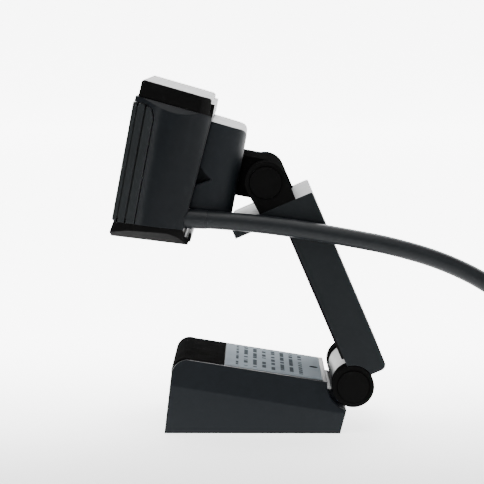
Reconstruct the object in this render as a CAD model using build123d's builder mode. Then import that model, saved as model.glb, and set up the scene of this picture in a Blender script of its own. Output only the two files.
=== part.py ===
from build123d import *
import math
import os

# Webcam on a folding two-hinge stand. Millimetres, +Z up, lens towards -Y, hinges along X.
# The origin is on the table under the middle of the object, its cord left out.

# ---------------------------------------------------------------- driving dimensions

# Side view: the two hinges
LOWER_HINGE = (25.15, 11.6)  # Y, Z of the base hinge
ARM_LENGTH = 53.7  # hinge to hinge
ARM_LEAN = 23.3  # degrees from upright, towards the lens
HEAD_TILT = 10.75  # degrees, the lens looks up by this much

# Widths, each given as half of the full width
HEAD_HALF = 25.5
BOSS_HALF = 20.0
ARM_HALF = 20.0
BASE_HALF = 19.5
EAR_INNER = 14.0  # ears run from here out to ARM_HALF
LUG_HALF = 13.2  # the middle knuckle of both hinges
POCKET_HALF = 13.7  # room cut for the middle knuckle

# Hinges
EAR_R = 5.0
BARREL_R = 4.7
PIN_R = 1.5
PIN_BORE_R = 1.55
PIN_HALF = 18.4
CAP_R = 3.85
CAP_SEAT_R = 3.9
CAP_SEAT_X = 18.6
CAP_FACE_X = 20.25
WASHER_R = 3.6
WASHER_THICK = 0.5
KNUCKLE_GAP = 0.2

# Base
BASE_TOE = 20.55  # the free end of the underside, towards -Y
BASE_HEEL = 22.05
BASE_CREST = (-15.15, 17.6)
BASE_NOSE = (-18.85, 14.8)
NOSE_ROUND = (-17.45, 16.7)
RECESS_R = 6.2
FACET_LEAN = 20.0
FACET_FOLD = (-18.35, 11.7)
FACET_SLOPE = 9.4
PLATE_THICK = 1.8
PLATE_SIDE = 17.7
INSERT_R = 4.8
THREAD_R = 2.6  # minor radius of a 1/4-20 thread
THREAD_DEPTH = 6.5

# Arm, in its own frame: a along the arm from the base hinge, x towards its outer face
ARM_OUTER = 9.3
ARM_INNER = 0.55
ARM_FOOT = 1.0
ARM_END = 47.3
LIP_REACH = 11.9
LIP_UNDER = 44.15
LIP_TIP = 46.9
WALL = 1.6

# Head, in its own frame: u to the rear and v up, from the head hinge
HEAD_FRONT = -34.3
BEZEL_REAR = -28.9
SEAM = 0.2
BOSS_REAR = -6.5
BOSS_TOP = 11.1
BOSS_FOOT = -9.5
COVER_STEP = 4.0  # thickness of the top and bottom covers
HEAD_TAPER = 0.083  # the covers close up towards the rear by this slope
BOARD_U = -26.6
LENS_R = 4.6

# Cord
CORD_R = 2.15
CORD_X = 22.5
COIL_MEAN_R = 24.4
COIL_CENTRE = (-2.6, 98.6)
COIL_TURNS_ACROSS = 4
COIL_LAYERS = 2
TIE_THICK = 0.5

# ---------------------------------------------------------------- frames

side = Plane.YZ
lean, tilt = math.radians(ARM_LEAN), math.radians(HEAD_TILT)
lower = Vector(0, *LOWER_HINGE)
upper = lower + Vector(0, -math.sin(lean), math.cos(lean)) * ARM_LENGTH
to_rear = Vector(0, math.cos(tilt), -math.sin(tilt))
to_top = Vector(0, math.sin(tilt), math.cos(tilt))
arm_side = Plane(lower, x_dir=(0, math.cos(lean), math.sin(lean)), z_dir=(1, 0, 0))
head_side = Plane(upper, x_dir=to_rear, z_dir=(1, 0, 0))
head_front = Plane(upper, x_dir=(1, 0, 0), z_dir=to_rear * -1)
head_plan = Plane(upper, x_dir=to_rear, z_dir=to_top)


def front_at(u):
    """The plane across the head at u, facing the lens side."""
    return head_front.offset(-u)


def save(part, label):
    """Labels a finished piece and writes it."""
    part.label = label
    export_step(part, f"parts/{label}.step")


os.makedirs("parts", exist_ok=True)

# ---------------------------------------------------------------- base

recess_low, recess_high = 255.0, 174.5  # where the hinge recess leaves the heel and the top


# The wedge: flat underside, sloping top, rounded nose and a hollow round the hinge.
with BuildSketch(side) as base_outline:
    with BuildLine():
        recess = CenterArc(LOWER_HINGE, RECESS_R, recess_high, recess_low - recess_high)
        Line(recess @ 0, BASE_CREST)
        ThreePointArc(BASE_CREST, NOSE_ROUND, BASE_NOSE)
        Polyline(BASE_NOSE, (-BASE_TOE, 0), (BASE_HEEL, 0), recess @ 1)
    make_face()

slope = math.radians(FACET_SLOPE)
facet_lean = math.radians(FACET_LEAN)
facet_up = Vector(0, math.sin(slope), math.cos(slope))
facets = [
    Plane(
        Vector(sign * BASE_HALF, *FACET_FOLD),
        x_dir=(0, math.cos(slope), -math.sin(slope)),
        z_dir=Vector(sign * math.cos(facet_lean), 0, 0) + facet_up * math.sin(facet_lean),
    )
    for sign in (1, -1)
]
top_slope = math.atan2(BASE_CREST[1] - 12.2, 19.0 - BASE_CREST[0])
CAVITY_HALF = 15.2
SCREW_AT = [(sx * 12.0, y) for sx in (1, -1) for y in (-14.2, 9.4)]
SCREW_R = 0.9
PAD_THICK = 0.7
PAD_BED = [(-15.0, 16.85), (-18.2, 14.4)]
PAD_PROUD = 0.15
PAD_ROUND = (-17.75, 17.1)
PAD_TIP = (-19.0, 14.85)
PAD_END = 9.2  # along the top from the crest, where the pad stops and the label starts
LABEL_END = 33.4
LUG_TAIL = [(12.5, 4.4), (12.5, 9.7), (20.0, 9.7), (24.0, 8.6), (23.2, 5.0), (21.0, 4.4)]

def along_top(distance, rise=0.0):
    """A Y, Z point on the base's sloping top, measured from the crest towards the hinge."""
    run = Vector(*BASE_CREST) + Vector(math.cos(top_slope), -math.sin(top_slope)) * distance
    return run + Vector(math.sin(top_slope), math.cos(top_slope)) * rise


with BuildPart() as base_shell:
    extrude(base_outline.sketch, amount=BASE_HALF, both=True)
    for facet in facets:
        split(bisect_by=facet, keep=Keep.BOTTOM)
    # hollow inside, open underneath
    with BuildSketch(side):
        with BuildLine():
            Polyline(
                (-18.3, -1), (-17.1, 14.0), (-14.6, 15.9), (17.0, 10.9), (17.4, -1), close=True
            )
        make_face()
    extrude(amount=CAVITY_HALF, both=True, mode=Mode.SUBTRACT)
    # rebate for the bottom plate
    with BuildSketch(Plane.XY):
        with Locations((0, (17.5 - 18.9) / 2)):
            Rectangle(2 * PLATE_SIDE, 17.5 + 18.9)
    extrude(amount=PLATE_THICK, mode=Mode.SUBTRACT)
    # screw posts, up into the sloping top wall
    for x, y in SCREW_AT:
        with BuildSketch(Plane.XY.offset(PLATE_THICK)):
            with Locations((x, y)):
                Circle(2.2)
        extrude(amount=BASE_CREST[1] - (y - BASE_CREST[0]) * math.tan(top_slope) - 1.2 - PLATE_THICK)
    with BuildSketch(Plane.XY.offset(PLATE_THICK)):
        with Locations(*SCREW_AT):
            Circle(SCREW_R + 0.05)
    extrude(amount=6.5, mode=Mode.SUBTRACT)
    # slot where the middle knuckle's tail goes in
    with BuildSketch(side):
        with BuildLine():
            Polyline(LUG_TAIL, close=True)
        make_face()
    extrude(amount=LUG_HALF, both=True, mode=Mode.SUBTRACT)
    # shallow seat for the rubber pad, over the crest and down the nose
    with BuildSketch(side):
        with BuildLine():
            Polyline(
                along_top(PAD_END, 3), along_top(PAD_END, -PAD_THICK), *PAD_BED, (-20, 14.4), (-20, 20)
            )
            Line((-20, 20), along_top(PAD_END, 3))
        make_face()
    extrude(amount=16.4, both=True, mode=Mode.SUBTRACT)
save(base_shell.part, "base_shell")

with BuildPart() as base_bottom_plate:
    with BuildSketch(Plane.XY):
        with Locations((0, (17.5 - 18.9) / 2)):
            RectangleRounded(2 * PLATE_SIDE - 0.1, 17.5 + 18.9 - 0.1, 1.0)
    extrude(amount=PLATE_THICK)
    with BuildSketch(Plane.XY.offset(PLATE_THICK)):
        Circle(INSERT_R + 2.0)
    extrude(amount=THREAD_DEPTH + 1.0 - PLATE_THICK)
    with BuildSketch(Plane.XY):
        Circle(INSERT_R)
    extrude(amount=THREAD_DEPTH + 1.0, mode=Mode.SUBTRACT)
    with Locations(*[(x, y, 0) for x, y in SCREW_AT]):
        CounterSinkHole(SCREW_R + 0.1, 1.9)
save(base_bottom_plate.part, "base_bottom_plate")

with BuildPart() as tripod_insert:
    with BuildSketch(Plane.XY):
        Circle(INSERT_R)
    extrude(amount=THREAD_DEPTH + 1.0)
    with BuildSketch(Plane.XY):
        Circle(THREAD_R)
    extrude(amount=THREAD_DEPTH, mode=Mode.SUBTRACT)
    chamfer(tripod_insert.faces().sort_by(Axis.Z)[0].edges().sort_by(SortBy.RADIUS)[0], 0.4)
save(tripod_insert.part, "tripod_insert")

with BuildPart() as base_screws:
    for x, y in SCREW_AT:
        with BuildSketch(Plane.XY.offset(0.2)):
            with Locations((x, y)):
                Circle(SCREW_R)
        extrude(amount=6.0)
        with BuildSketch(Plane.XY.offset(0.2)):
            with Locations((x, y)):
                Circle(1.75)
        extrude(amount=0.85, taper=45)
save(base_screws.part, "base_screws")

with BuildPart() as base_hinge_lug:
    with BuildSketch(side):
        with Locations(LOWER_HINGE):
            Circle(BARREL_R)
        with BuildLine():
            Polyline(LUG_TAIL, close=True)
        make_face()
        with Locations(LOWER_HINGE):
            Circle(PIN_BORE_R, mode=Mode.SUBTRACT)
    extrude(amount=LUG_HALF, both=True)
save(base_hinge_lug.part, "base_hinge_lug")


with BuildPart() as base_grip_pad:
    with BuildSketch(side):
        with BuildLine():
            Polyline(
                along_top(0.8, PAD_PROUD),
                along_top(PAD_END - 0.1, PAD_PROUD),
                along_top(PAD_END - 0.1, -PAD_THICK),
                *PAD_BED,
                (PAD_TIP[0], PAD_BED[-1][1]),
                PAD_TIP,
            )
            ThreePointArc(PAD_TIP, PAD_ROUND, along_top(0.8, PAD_PROUD))
        make_face()
    extrude(amount=16.3, both=True)
save(base_grip_pad.part, "base_grip_pad")

with BuildPart() as rating_label:
    with BuildSketch(side):
        with BuildLine():
            Polyline(
                along_top(PAD_END + 0.1, 0.02),
                along_top(LABEL_END, 0.02),
                along_top(LABEL_END, 0.17),
                along_top(PAD_END + 0.1, 0.17),
                close=True,
            )
        make_face()
    extrude(amount=15.9, both=True)
save(rating_label.part, "rating_label")

# ---------------------------------------------------------------- hinge hardware


def hinge_pin(at):
    """Steel pin along a hinge line."""
    return extrude(Plane(at, z_dir=(1, 0, 0)) * Circle(PIN_R), PIN_HALF, both=True)


def pair_of_discs(at, radius, near, far, bore=0.0):
    """The same disc or ring at both ends of a hinge line, from |X| = near to far."""
    solids = []
    for sign in (1, -1):
        ring = Circle(radius) - Circle(bore) if bore else Circle(radius)
        face = Plane(at + Vector(sign * near, 0, 0), z_dir=(sign, 0, 0)) * ring
        solids.append(extrude(face, far - near))
    return Part() + solids


for label, at in (("lower", lower), ("upper", upper)):
    save(hinge_pin(at), f"{label}_hinge_pin")
    save(pair_of_discs(at, CAP_R, CAP_SEAT_X, CAP_FACE_X), f"{label}_pin_caps")
    save(
        pair_of_discs(at, WASHER_R, EAR_INNER - WASHER_THICK, EAR_INNER, PIN_R + 0.1),
        f"{label}_friction_washers",
    )

# ---------------------------------------------------------------- arm

TONGUE_MID, TONGUE_THICK = 3.5, 3.0
LIP = [
    (ARM_INNER, 41.2),
    (-2.4, LIP_UNDER),
    (-LIP_REACH, LIP_UNDER),
    (-LIP_REACH, LIP_TIP),
    (-LIP_REACH + 0.6, ARM_END),
    (ARM_OUTER, ARM_END),
]

ARM_SCREW_AT = [(sx * 13.5, a) for sx in (1, -1) for a in (14.0, 37.0)]
ARM_SCREW_R = 0.8


def arm_spot(x, a, depth):
    """A plane facing the arm's outer side, at x across, a along and depth in from its hinge line."""
    at = arm_side.origin + arm_side.y_dir * a + arm_side.x_dir * depth + Vector(x, 0, 0)
    return Plane(at, z_dir=arm_side.x_dir)


with BuildPart() as arm_shell:
    with BuildSketch(arm_side) as arm_face:
        with BuildLine():
            Polyline(LIP, (ARM_OUTER, ARM_FOOT), (ARM_INNER, ARM_FOOT), close=True)
        make_face()
        fillet(arm_face.vertices().sort_by_distance((ARM_OUTER, ARM_FOOT))[0], 1.5)
        fillet(arm_face.vertices().sort_by_distance((ARM_OUTER, ARM_END))[0], 0.4)
    extrude(amount=ARM_HALF, both=True)
    # hollow, open on the inner side
    with BuildSketch(arm_side):
        with BuildLine():
            Polyline((-1, 3.0), (ARM_OUTER - WALL, 3.0), (ARM_OUTER - WALL, 45.7), close=False)
            Polyline((ARM_OUTER - WALL, 45.7), (1.9, 45.7), (1.9, 41.0), (-1, 41.0), (-1, 3.0))
        make_face()
    extrude(amount=ARM_HALF - 1.8, both=True, mode=Mode.SUBTRACT)
    # screw posts under the inner cover
    for x, a in ARM_SCREW_AT:
        with BuildSketch(arm_spot(x, a, ARM_INNER + 1.3)):
            Circle(2.0)
        extrude(amount=6.0)
        with BuildSketch(arm_spot(x, a, ARM_INNER + 1.3)):
            Circle(ARM_SCREW_R + 0.05)
        extrude(amount=5.0, mode=Mode.SUBTRACT)
    # round cut for the knuckles
    with BuildSketch(arm_side):
        Circle(EAR_R + KNUCKLE_GAP)
    extrude(amount=ARM_HALF + 1, both=True, mode=Mode.SUBTRACT)
    with BuildSketch(arm_side):
        Circle(BARREL_R + 0.9)
    extrude(amount=POCKET_HALF, both=True, mode=Mode.SUBTRACT)
    # slots in the end wall for the upper yoke's tongues
    for x in (EAR_INNER + 0.5 + 1.65, -EAR_INNER - 0.5 - 1.65):
        with BuildSketch(Plane(arm_side.origin, x_dir=(1, 0, 0), z_dir=arm_side.y_dir).offset(45)):
            with Locations((x, TONGUE_MID)):
                Rectangle(3.3, TONGUE_THICK)
        extrude(amount=3, mode=Mode.SUBTRACT)
save(arm_shell.part, "arm_shell")

with BuildPart() as arm_inner_cover:
    with BuildSketch(arm_side):
        with Locations((ARM_INNER + 0.65, (9.6 + 40.9) / 2)):
            Rectangle(1.3, 40.9 - 9.6)
    extrude(amount=ARM_HALF - 1.9, both=True)
    for x, a in ARM_SCREW_AT:
        with BuildSketch(arm_spot(x, a, ARM_INNER)):
            Circle(1.6)
        extrude(amount=0.92, mode=Mode.SUBTRACT)
        with BuildSketch(arm_spot(x, a, ARM_INNER)):
            Circle(ARM_SCREW_R + 0.05)
        extrude(amount=1.4, mode=Mode.SUBTRACT)
save(arm_inner_cover.part, "arm_inner_cover")

PAD_LOW, PAD_HIGH = 7.2, 40.6  # the pad's ends along the arm

with BuildPart() as arm_grip_pad:
    with BuildSketch(arm_side):
        with Locations((ARM_INNER / 2, (PAD_LOW + PAD_HIGH) / 2)):
            Rectangle(ARM_INNER, PAD_HIGH - PAD_LOW)
    extrude(amount=ARM_HALF - 0.1, both=True)
save(arm_grip_pad.part, "arm_grip_pad")

YOKE_BAR = [(0.6, 5.6), (0.6, 9.4), (7.6, 9.4), (7.6, 3.2), (4.6, 3.2), (2.0, 4.5)]

with BuildPart() as lower_yoke:
    with BuildSketch(arm_side):
        with BuildLine():
            Polyline(YOKE_BAR, close=True)
        make_face()
    extrude(amount=ARM_HALF - 1.9, both=True)
    with BuildSketch(arm_side):
        Circle(EAR_R + 0.05)
    extrude(amount=ARM_HALF, both=True)
    # room for the base's middle knuckle
    with BuildSketch(arm_side):
        Circle(BARREL_R + 0.9)
    extrude(amount=EAR_INNER, both=True, mode=Mode.SUBTRACT)
    with BuildSketch(arm_side):
        Circle(PIN_R)
    extrude(amount=ARM_HALF + 1, both=True, mode=Mode.SUBTRACT)
    for face_x in (CAP_SEAT_X, -CAP_SEAT_X - 5):
        with BuildSketch(Plane(lower + Vector(face_x, 0, 0), z_dir=(1, 0, 0))):
            Circle(CAP_SEAT_R)
        extrude(amount=5, mode=Mode.SUBTRACT)
save(lower_yoke.part, "lower_yoke")

upper_eye = (0, ARM_LENGTH)
with BuildPart() as upper_yoke:
    with BuildSketch(arm_side):
        with Locations(upper_eye):
            Circle(EAR_R)
        with BuildLine():
            Polyline(
                (-4.2, ARM_END),
                (EAR_R, ARM_END),
                (EAR_R, ARM_LENGTH),
                (-4.9, ARM_LENGTH - 1.0),
                close=True,
            )
        make_face()
    extrude(amount=ARM_HALF, both=True)
    with BuildSketch(arm_side):
        with Locations(upper_eye):
            Rectangle(20, 2 * (ARM_LENGTH - ARM_END) + 0.01)
    extrude(amount=EAR_INNER, both=True, mode=Mode.SUBTRACT)
    # tongues through the arm's end wall, and the bar that joins them
    with BuildSketch(arm_side):
        with Locations((TONGUE_MID, (42 + ARM_END) / 2)):
            Rectangle(TONGUE_THICK, ARM_END - 42)
    extrude(amount=EAR_INNER + 0.5 + 3.25, both=True)
    with BuildSketch(arm_side):
        with Locations((3.1, 47.0)):
            Rectangle(8, 2.7)
    extrude(amount=EAR_INNER + 0.55, both=True, mode=Mode.SUBTRACT)
    with BuildSketch(arm_side):
        with Locations(upper_eye):
            Circle(PIN_R)
    extrude(amount=ARM_HALF + 1, both=True, mode=Mode.SUBTRACT)
    for face_x in (CAP_SEAT_X, -CAP_SEAT_X - 5):
        with BuildSketch(Plane(upper + Vector(face_x, 0, 0), z_dir=(1, 0, 0))):
            Circle(CAP_SEAT_R)
        extrude(amount=5, mode=Mode.SUBTRACT)
save(upper_yoke.part, "upper_yoke")

with BuildPart() as arm_screws:
    for x, a in ARM_SCREW_AT:
        with BuildSketch(arm_spot(x, a, ARM_INNER + 0.55)):
            Circle(ARM_SCREW_R)
        extrude(amount=5.0)
        with BuildSketch(arm_spot(x, a, ARM_INNER + 0.2)):
            Circle(1.5)
        extrude(amount=0.7)
save(arm_screws.part, "arm_screws")

# ---------------------------------------------------------------- head


def top_v(u):
    """Height of the top cover's upper face at u."""
    return 18.8 - HEAD_TAPER * (u - HEAD_FRONT)


def foot_v(u):
    """Height of the bottom cover's lower face at u."""
    return -19.0 + HEAD_TAPER * 0.7 * (u - HEAD_FRONT)


SHELL_TOP_REAR = (-15.4, top_v(-15.4) - COVER_STEP)
SHELL_FOOT_REAR = (-17.2, foot_v(-17.2) + COVER_STEP - 0.4)

# Plan of the head: end walls that bulge a little and round off at the back.
with BuildSketch(head_plan.offset(-25)) as head_outline:
    with BuildLine():
        near_end = Spline(
            (HEAD_FRONT, HEAD_HALF - 1.4),
            (-31.0, HEAD_HALF - 0.7),
            (-28.0, HEAD_HALF - 0.2),
            (-25.0, HEAD_HALF),
            (-21.5, HEAD_HALF - 0.4),
            (-18.5, HEAD_HALF - 1.4),
            (-16.6, HEAD_HALF - 2.7),
            (-14.5, HEAD_HALF - 5.2),
        )
        Polyline(near_end @ 1, (-14.5, 0), (HEAD_FRONT, 0), near_end @ 0)
    make_face()
    mirror(about=Plane.XZ)


def head_slab(points):
    """A slab of the head with this side outline, trimmed to the head's plan."""
    with BuildPart() as slab:
        with BuildSketch(head_side):
            with BuildLine():
                Polyline(points, close=True)
            make_face()
        extrude(amount=HEAD_HALF + 1, both=True)
        extrude(head_outline.sketch, amount=50, mode=Mode.INTERSECT)
    return slab.part


shell_points = [
    (HEAD_FRONT + 0.25, 13.55),
    (HEAD_FRONT + 0.35, top_v(HEAD_FRONT) - COVER_STEP),
    SHELL_TOP_REAR,
    SHELL_FOOT_REAR,
    (BEZEL_REAR + SEAM, foot_v(BEZEL_REAR) + COVER_STEP - 0.4),
    (BEZEL_REAR + SEAM, 10.6),
    (-29.6, 12.6),
    (-31.0, 13.3),
]
BOSS_WINDOW = (2 * 17.0, 15.6, 0.6)  # width, height and middle height
SHELL_SLOPE = (SHELL_TOP_REAR[0] - SHELL_FOOT_REAR[0]) / (SHELL_TOP_REAR[1] - SHELL_FOOT_REAR[1])


def shell_rear(v):
    """Where the shell's slanting back face is at height v."""
    return SHELL_FOOT_REAR[0] + SHELL_SLOPE * (v - SHELL_FOOT_REAR[1])


# The cord leaves through the back of the shell, near its end.
CABLE_V = -11.8
FIRST_BEND = (CORD_X - 0.1, -2.0, 51.8)
EXIT = head_side.from_local_coords(Vector(shell_rear(CABLE_V), CABLE_V, CORD_X - 1.5))
boot_way = (Vector(*FIRST_BEND) - EXIT).normalized()

shell_block = head_slab(shell_points)
to_foot = to_top * -1 + to_rear * HEAD_TAPER * 0.7  # square to the bottom cover's lower face


def end_bevels(x, u, v, inward, out, away):
    """A slanting plane at each end of the head, through (x, u, v), that leans in towards the back."""
    at = head_side.from_local_coords(Vector(u, v, 0))
    return [
        Plane(
            at + Vector(sign * x, 0, 0),
            z_dir=Vector(sign * out, 0, 0) + to_rear * inward + away,
        )
        for sign in (1, -1)
    ]


with BuildPart() as rear_shell:
    add(shell_block)
    # slanting shoulders under the top cap
    for bevel in end_bevels(24.5, -30.0, top_v(-30.0) - COVER_STEP, 0.08, 0.8, to_top * 0.64):
        split(bisect_by=bevel, keep=Keep.BOTTOM)
    with BuildSketch(head_side):
        with BuildLine():
            Polyline(
                (HEAD_FRONT + 3.0, 12.2),
                (-27.0, 12.2),
                (-18.0, 12.0),
                (-19.8, foot_v(-19.8) + COVER_STEP + 1.2),
                (BEZEL_REAR, foot_v(BEZEL_REAR) + COVER_STEP + 1.2),
                (BEZEL_REAR - 1, 10.0),
                close=True,
            )
        make_face()
    extrude(amount=HEAD_HALF - 3.4, both=True, mode=Mode.SUBTRACT)
    with BuildSketch(front_at(-12)):
        with Locations((0, BOSS_WINDOW[2])):
            Rectangle(BOSS_WINDOW[0], BOSS_WINDOW[1])
    extrude(amount=14, mode=Mode.SUBTRACT)
    with BuildSketch(Plane(EXIT - boot_way * 3.2, z_dir=boot_way)):
        Circle(2.55)
    extrude(amount=8, mode=Mode.SUBTRACT)
save(rear_shell.part, "rear_shell")

# The front frame and its grooves
BEZEL_FOOT = foot_v(HEAD_FRONT) + COVER_STEP - 2.3
bezel_points = [
    (HEAD_FRONT, 13.3),
    (-31.1, 13.1),
    (-29.8, 12.45),
    (BEZEL_REAR, 10.5),
    (BEZEL_REAR, foot_v(BEZEL_REAR) + COVER_STEP - 0.4),
    (HEAD_FRONT + 0.6, foot_v(HEAD_FRONT + 0.6) + COVER_STEP - 0.4),
    (HEAD_FRONT, BEZEL_FOOT + 2.4),
]
bezel_block = head_slab(bezel_points)
PANEL_HALF, PANEL_HIGH, PANEL_MID, PANEL_THICK = 22.9, 25.2, -0.8, 1.0

with BuildPart() as front_bezel:
    add(bezel_block)
    # two shallow grooves down each end
    for groove_u in (HEAD_FRONT + 1.2, HEAD_FRONT + 3.2):
        with BuildSketch(head_side):
            with Locations((groove_u, 0)):
                Rectangle(0.4, 60)
        extrude(amount=HEAD_HALF + 1, both=True, mode=Mode.SUBTRACT)
        with BuildSketch(head_side):
            with Locations((groove_u, -1.0)):
                Rectangle(0.4, 27)
        extrude(amount=HEAD_HALF - 1.75, both=True)
    # the window, with a seat for the panel round it
    with BuildSketch(front_at(HEAD_FRONT)):
        with Locations((0, PANEL_MID)):
            RectangleRounded(2 * PANEL_HALF - 3, PANEL_HIGH - 3, 2.0)
    extrude(amount=-8, mode=Mode.SUBTRACT)
    with BuildSketch(front_at(HEAD_FRONT)):
        with Locations((0, PANEL_MID)):
            RectangleRounded(2 * PANEL_HALF, PANEL_HIGH, 3.0)
    extrude(amount=-PANEL_THICK - 0.3, mode=Mode.SUBTRACT)
save(front_bezel.part, "front_bezel")

PANEL_FACE = HEAD_FRONT + 0.3
HOLES = {"lens": (0, 1.0), "light": (11.5, 1.0), "near_mic": (18.5, 1.0), "far_mic": (-18.5, 1.0)}

with BuildPart() as front_panel:
    with BuildSketch(front_at(PANEL_FACE)):
        with Locations((0, PANEL_MID)):
            RectangleRounded(2 * PANEL_HALF - 0.1, PANEL_HIGH - 0.1, 2.95)
        with Locations(HOLES["lens"]):
            Circle(LENS_R + 1.2, mode=Mode.SUBTRACT)
        with Locations(HOLES["light"]):
            Circle(0.85, mode=Mode.SUBTRACT)
        with Locations(HOLES["near_mic"], HOLES["far_mic"]):
            Circle(0.5, mode=Mode.SUBTRACT)
    extrude(amount=-PANEL_THICK)
save(front_panel.part, "front_panel")

cover_top_points = [
    (HEAD_FRONT + 0.95, top_v(HEAD_FRONT) - COVER_STEP),
    (HEAD_FRONT + 1.1, top_v(HEAD_FRONT) - 0.4),
    (HEAD_FRONT + 1.5, top_v(HEAD_FRONT)),
    (-16.6, top_v(-16.6)),
    (-16.2, top_v(-16.2) - 0.4),
    (-16.2, top_v(-16.2) - COVER_STEP + 0.8),
    (SHELL_TOP_REAR[0], SHELL_TOP_REAR[1] + 0.8),
    SHELL_TOP_REAR,
]
cover_foot_points = [
    (HEAD_FRONT + 0.45, foot_v(HEAD_FRONT) + COVER_STEP - 0.4),
    (HEAD_FRONT, foot_v(HEAD_FRONT) + 0.9),
    (HEAD_FRONT + 0.5, foot_v(HEAD_FRONT)),
    (-15.6, foot_v(-15.6)),
    (-15.2, foot_v(-15.2) + 1.4),
    (-16.7, foot_v(-16.7) + 1.9),
    (-17.3, foot_v(-17.3) + COVER_STEP - 0.4),
]
top_block = head_slab(cover_top_points)
foot_block = head_slab(cover_foot_points)
CAP_INSET = 1.4  # the top cap stands in from the shell's ends

with BuildPart() as top_cover:
    add(top_block)
    with BuildSketch(head_plan):
        with Locations((-25, 0)):
            RectangleRounded(25, 2 * (HEAD_HALF - CAP_INSET), 3.2)
    extrude(amount=30, mode=Mode.INTERSECT)
    # thin lip that hangs down behind the shell
    with BuildSketch(head_side):
        with BuildLine():
            Polyline(
                (-16.2, top_v(-16.2) - 1.2),
                (-15.3, top_v(-15.3) - 1.2),
                (-15.3, 12.8),
                (-15.35, SHELL_TOP_REAR[1] + 0.8),
                (-16.2, SHELL_TOP_REAR[1] + 0.8),
                close=True,
            )
        make_face()
    extrude(amount=HEAD_HALF - 3.5, both=True)
save(top_cover.part, "top_cover")

REAR_LIP_TOP = -15.0

with BuildPart() as bottom_cover:
    add(foot_block)
    with BuildSketch(head_plan.offset(-30)):
        with Locations((-25, 0)):
            RectangleRounded(26, 2 * (HEAD_HALF - 0.5), 2.0)
    extrude(amount=30, mode=Mode.INTERSECT)
    # upturned lip at the rear
    with BuildSketch(head_side):
        with Locations((-15.4, (foot_v(-15.4) + 0.8 + REAR_LIP_TOP) / 2)):
            Rectangle(0.7, REAR_LIP_TOP - foot_v(-15.4) - 0.8)
    extrude(amount=HEAD_HALF - 4.0, both=True)
    # lower edges at both ends slant under
    for bevel in end_bevels(HEAD_HALF - 0.5, -25.0, foot_v(-25.0) + 2.2, 0.04, 0.66, to_foot * 0.75):
        split(bisect_by=bevel, keep=Keep.BOTTOM)
save(bottom_cover.part, "bottom_cover")

# The housing behind the shell that carries the neck
BOSS_WALL = 1.5
POCKET_DEEP = 2.8
BOSS_CORNER = 1.7

# Plan of the housing: sides that swell and round off at the back.
with BuildSketch(head_plan.offset(-25)) as boss_outline:
    with BuildLine():
        boss_end = Spline(
            (-22.0, BOSS_HALF - 0.5),
            (-15.0, BOSS_HALF),
            (-10.5, BOSS_HALF - 0.6),
            (-7.8, BOSS_HALF - 2.2),
            (BOSS_REAR, BOSS_HALF - 4.5),
        )
        Polyline(boss_end @ 1, (BOSS_REAR, 0), (-22.0, 0), boss_end @ 0)
    make_face()
    mirror(about=Plane.XZ)

with BuildPart() as rear_housing:
    with BuildSketch(head_side) as boss_face:
        with BuildLine():
            Polyline(
                (shell_rear(BOSS_TOP + 0.9) + 0.02, BOSS_TOP + 0.9),
                (BOSS_REAR, BOSS_TOP),
                (BOSS_REAR, BOSS_FOOT),
                (shell_rear(BOSS_FOOT) + 0.02, BOSS_FOOT),
                close=True,
            )
        make_face()
        fillet(boss_face.vertices().sort_by_distance((BOSS_REAR, BOSS_TOP))[0], BOSS_CORNER)
        fillet(boss_face.vertices().sort_by_distance((BOSS_REAR, BOSS_FOOT))[0], 0.6)
    extrude(amount=BOSS_HALF + 1, both=True)
    extrude(boss_outline.sketch, amount=50, mode=Mode.INTERSECT)
    # spigot that plugs into the shell's window
    with BuildSketch(front_at(-14)):
        with Locations((0, BOSS_WINDOW[2])):
            Rectangle(BOSS_WINDOW[0] - 0.1, BOSS_WINDOW[1] - 0.1)
    extrude(amount=7.2)
    # hollow, open to the inside of the shell
    with BuildSketch(front_at(BOSS_REAR - BOSS_WALL)):
        with Locations((0, BOSS_WINDOW[2])):
            Rectangle(BOSS_WINDOW[0] - 2.4, BOSS_WINDOW[1] - 2.4)
    extrude(amount=20, mode=Mode.SUBTRACT)
    # opening for the neck
    with BuildSketch(front_at(BOSS_REAR + 2)):
        Rectangle(22.0, 7.0)
    extrude(amount=5, mode=Mode.SUBTRACT)
    # small pocket at each side, where the housing meets the shell
    for pocket_x in (BOSS_HALF - POCKET_DEEP, -BOSS_HALF - 0.5):
        with BuildSketch(head_side.offset(pocket_x)):
            with BuildLine():
                Polyline((-17.2, -4.1), (-16.4, 1.0), (-13.0, -1.8), close=True)
            make_face()
        extrude(amount=POCKET_DEEP + 0.5, mode=Mode.SUBTRACT)
save(rear_housing.part, "rear_housing")

NECK_R = EAR_R - 0.1

with BuildPart() as neck_bracket:
    with BuildSketch(head_side):
        Circle(NECK_R)
        with Locations((BOSS_REAR / 2, 0.1)):
            Rectangle(-BOSS_REAR, 2 * NECK_R)
        Circle(PIN_BORE_R, mode=Mode.SUBTRACT)
    extrude(amount=LUG_HALF, both=True)
    # tongue through the housing's opening, with a flange inside
    with BuildSketch(front_at(BOSS_REAR)):
        Rectangle(21.9, 6.9)
    extrude(amount=BOSS_WALL)
    with BuildSketch(front_at(BOSS_REAR - BOSS_WALL)):
        Rectangle(25.0, 9.0)
    extrude(amount=1.5)
    with BuildSketch(front_at(BOSS_REAR - BOSS_WALL - 1.5)):
        with Locations((9.0, 0), (-9.0, 0)):
            Circle(0.95)
    extrude(amount=-4.2, mode=Mode.SUBTRACT)
save(neck_bracket.part, "neck_bracket")

# ---------------------------------------------------------------- inside the head

BOARD_THICK = 1.2
BOARD_SIZE = (40.0, 21.0)
BOARD_SCREWS = [(sx * 17.5, sv * 8.3 - 1.0) for sx in (1, -1) for sv in (1, -1)]
PANEL_BACK = PANEL_FACE + PANEL_THICK
LENS_AT = HOLES["lens"]

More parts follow.
